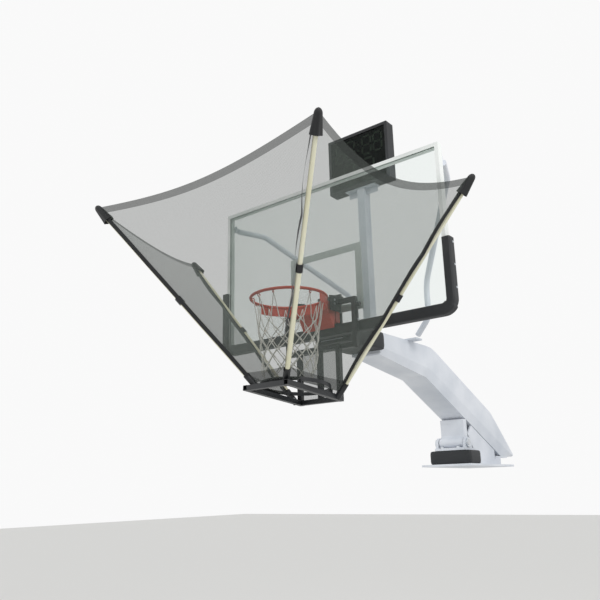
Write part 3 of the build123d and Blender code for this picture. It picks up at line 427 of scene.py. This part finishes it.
for pole in POLE_NAMES:
    foot, tip = np.array(FEET[pole]), np.array(TIPS[pole])
    axis = (tip - foot) / np.linalg.norm(tip - foot)
    first, second = across_axes(axis)
    along, turn = np.meshgrid(np.linspace(0, 1, 30), np.linspace(0, 2 * np.pi, 40, endpoint=False), indexing="ij")
    close = np.sqrt(np.clip(1 - np.clip((along - 0.8) / 0.2, 0, 1) ** 2, 0, 1))
    radius = (0.019 + 0.014 * (1 - along) + 0.003 * np.sin(5 * turn) * (1 - along)) * np.maximum(close, 0.02)
    spot = tip - axis * 0.115 + along[..., None] * axis * 0.130
    spot = spot + radius[..., None] * (np.cos(turn)[..., None] * first + np.sin(turn)[..., None] * second)
    pocket = mesh_piece(f"tip_pocket_{pole}", spot, grid_faces(30, 40, wrap=True)[:, ::-1])
    pocket.data.materials.append(black_nylon)
    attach(pocket, f"pole_{pole}")
    # Webbing from the pocket to the socket, on the side of the pole away from the ring.
    run, width = np.meshgrid(np.linspace(0, 1, 140), np.linspace(-0.5, 0.5, 5), indexing="ij")
    away = -first if np.dot(first, [tip[0], -1, 0]) < 0 else first
    sway = 0.021 + 0.012 * np.abs(np.sin(3 * np.pi * run)) * (1 + 0.4 * np.sin(11 * run))
    spot = foot + (0.03 + 0.93 * run)[..., None] * (tip - foot) + away * sway[..., None]
    spot = spot + second * (0.025 * width)[..., None] + away * (0.004 * np.sin(17 * run) * width)[..., None]
    webbing = mesh_piece(f"webbing_{pole}", spot, grid_faces(140, 5))
    webbing.data.materials.append(black_nylon)
    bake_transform(webbing)


# ---------------------------------------------------------------- string net
# Braided nylon cord, 6 mm, off-white: twelve long drops from the hooks, then knotted diamonds to a loose foot.
def cord_tubes(name, paths, radius, sides=8):
    """Tubes round several paths of equal length; radius is a number or one value for each point."""
    points, faces = [], []
    angle = np.linspace(0, 2 * np.pi, sides, endpoint=False)
    for path in paths:
        along = np.gradient(path, axis=0)
        along /= np.linalg.norm(along, axis=1, keepdims=True)
        side = np.cross(along, [0.31, 0.17, 0.93])
        side /= np.linalg.norm(side, axis=1, keepdims=True)
        other = np.cross(along, side)
        size = np.broadcast_to(np.asarray(radius, float), len(path))[:, None, None]
        ring = side[:, None] * np.cos(angle)[:, None] + other[:, None] * np.sin(angle)[:, None]
        faces.append(grid_faces(len(path), sides, wrap=True) + len(points) * len(path) * sides)
        points.append((path[:, None] + size * ring).reshape(-1, 3))
    return mesh_piece(name, np.concatenate(points), np.concatenate(faces))


HOOKS = 12
NET_TOP, NET_FOOT, NET_ROWS = 0.970, 0.490, 6
FIRST_DROP = 0.30           # share of the net's length before the first row of knots
net_paths = []
share = np.linspace(0, 1, 130)
rows_down = np.clip((share - FIRST_DROP) / (1 - FIRST_DROP), 0, 1) * NET_ROWS + np.clip(share / FIRST_DROP, 0, 1) * 0.5
for hook in range(HOOKS):
    for way in (-1, 1):
        turn = radians(30) * (hook + 0.5 + way * 0.5 * rows_down) + 0.05 * np.sin(9 * share + 2.4 * hook) * share
        waist = 0.2195 - 0.062 * share ** 0.7 + 0.008 * np.sin(7 * share + 1.7 * hook + way) * share
        drop = NET_TOP - (NET_TOP - NET_FOOT) * share * (1 - 0.10 * np.sin(1.3 * hook + 0.6 * way) ** 2)
        net_paths.append(np.stack([waist * np.cos(turn), -2.366 + waist * np.sin(turn), drop], -1))
knot = 0.0028 * (1 + 0.9 * np.exp(-((rows_down - np.round(rows_down)) / 0.10) ** 2) * (share > FIRST_DROP))
string_net = cord_tubes("ring_net", net_paths, knot)
braid, tree, output = new_material("off_white_braid")
place = add(tree, "ShaderNodeTexCoord")
plait = add(tree, "ShaderNodeTexWave", {"Scale": 90.0, "Distortion": 3.0}, [("Vector", place, "Object")])
bump = add(tree, "ShaderNodeBump", {"Strength": 0.4, "Distance": 0.0008}, [("Height", plait, "Fac")])
shader = add(tree, "ShaderNodeBsdfPrincipled", {"Base Color": linear("#E9E7DF"), "Roughness": 0.85},
             [("Normal", bump, "Normal")])
tree.links.new(shader.outputs[0], output.inputs[0])
string_net.data.materials.append(braid)
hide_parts("string_net")
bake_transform(string_net)

# ---------------------------------------------------------------- release spring
# Coiled spring-steel wire, zinc-plated, standing on the ring base's shelf under the bracket; five coils fill the
# height of the spring part's box.
low, high = (np.array(corner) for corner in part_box("release_spring"))
WIRE, COILS = 0.0017, 5
turn = np.linspace(0, 2 * np.pi * COILS, 60 * COILS)
coil_radius = (high[0] - low[0]) / 2 - WIRE
coil = np.stack([(low[0] + high[0]) / 2 + coil_radius * np.cos(turn), (low[1] + high[1]) / 2 + coil_radius * np.sin(turn),
                 low[2] + WIRE + (high[2] - low[2] - 2 * WIRE) * turn / turn[-1]], -1)
spring = cord_tubes("release_coil", [coil], WIRE, sides=12)
spring.data.materials.append(zinc)
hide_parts("release_spring")
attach(spring, "boom")
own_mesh(spring)

# ---------------------------------------------------------------- pads
# Closed-cell foam in black vinyl: an edge pad that grips the frame's lower half, and wrapped pads under
# the head and on the pedestal, each with a welded seam round it.
vinyl, tree, output = new_material("black_vinyl_on_foam")
place = add(tree, "ShaderNodeTexCoord")
grain = add(tree, "ShaderNodeTexVoronoi", {"Scale": 420.0}, [("Vector", place, "Object")])
bump = add(tree, "ShaderNodeBump", {"Strength": 0.2, "Distance": 0.0005}, [("Height", grain, "Distance")])
shader = add(tree, "ShaderNodeBsdfPrincipled", {"Base Color": linear("#202326"), "Roughness": 0.55},
             [("Normal", bump, "Normal")])
tree.links.new(shader.outputs[0], output.inputs[0])

low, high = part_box("edge_pad")
INNER_X, INNER_Z, CORNER = 0.878, 0.868, 0.060
mid_x, mid_z = (high.x + INNER_X) / 2, (low.z + INNER_Z) / 2
bend = np.linspace(0, np.pi / 2, 16)
down = np.linspace(high.z, mid_z + CORNER, 60)[:-1]
half = np.concatenate([np.stack([np.full_like(down, mid_x), down], -1),
                       np.stack([mid_x - CORNER + CORNER * np.cos(bend), mid_z + CORNER - CORNER * np.sin(bend)], -1),
                       np.stack([np.linspace(mid_x - CORNER, 0, 90)[1:], np.full(89, mid_z)], -1)])
line = np.concatenate([half, (half * [-1, 1])[-2::-1]])
ahead = np.gradient(line, axis=0)
ahead /= np.linalg.norm(ahead, axis=1, keepdims=True)
normal = np.stack([-ahead[:, 1], ahead[:, 0]], -1)
thick_half = np.where(np.abs(ahead[:, 0]) > 0.5, (INNER_Z - low.z) / 2, (high.x - INNER_X) / 2)
angle = np.linspace(0, 2 * np.pi, 48, endpoint=False)
square_c = np.sign(np.cos(angle)) * np.abs(np.cos(angle)) ** 0.35
square_s = np.sign(np.sin(angle)) * np.abs(np.sin(angle)) ** 0.35
ends = np.minimum(1, np.sqrt(np.clip(np.linspace(0, 1, len(line)) * (1 - np.linspace(0, 1, len(line))) * 400, 0, 1)))
across = (thick_half * ends)[:, None] * square_c
depth = ((high.y - low.y) / 2 * (1 - 0.02 * np.abs(np.sin(np.arange(len(line)) / 6))) * ends)[:, None] * square_s
spot = np.stack([line[:, None, 0] + normal[:, None, 0] * across, (low.y + high.y) / 2 + depth,
                 line[:, None, 1] + normal[:, None, 1] * across], -1)
edge_pad = mesh_piece("wrapped_edge_pad", spot, grid_faces(len(line), 48, wrap=True))
edge_pad.data.materials.append(vinyl)
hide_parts("edge_pad")
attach(edge_pad, "boom")

for node, body, fill in (("head_pad", "boom", 0.85), ("pedestal_pad", "base", 0.8)):
    low, high = (np.array(corner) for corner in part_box(node))
    rise, turn = np.meshgrid(np.linspace(-np.pi / 2, np.pi / 2, 60), np.linspace(0, 2 * np.pi, 120, endpoint=False),
                             indexing="ij")
    parts = (np.cos(rise), np.cos(turn), np.sin(turn), np.sin(rise))
    cr, ct, st, sr = (np.sign(p) * np.abs(p) ** 0.16 for p in parts)
    body_points = (low + high) / 2 + np.stack([cr * ct, cr * st, sr], -1) * (high - low) / 2
    pad = mesh_piece(f"wrapped_{node}", body_points, grid_faces(60, 120, wrap=True))
    seam = 1 + 0.012 * np.exp(-(rise / 0.05) ** 2)
    pad.data.vertices.foreach_set("co", (((body_points - (low + high) / 2) * seam[..., None])
                                         + (low + high) / 2).ravel())
    pad.data.materials.append(vinyl)
    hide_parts(node)
    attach(pad, body)
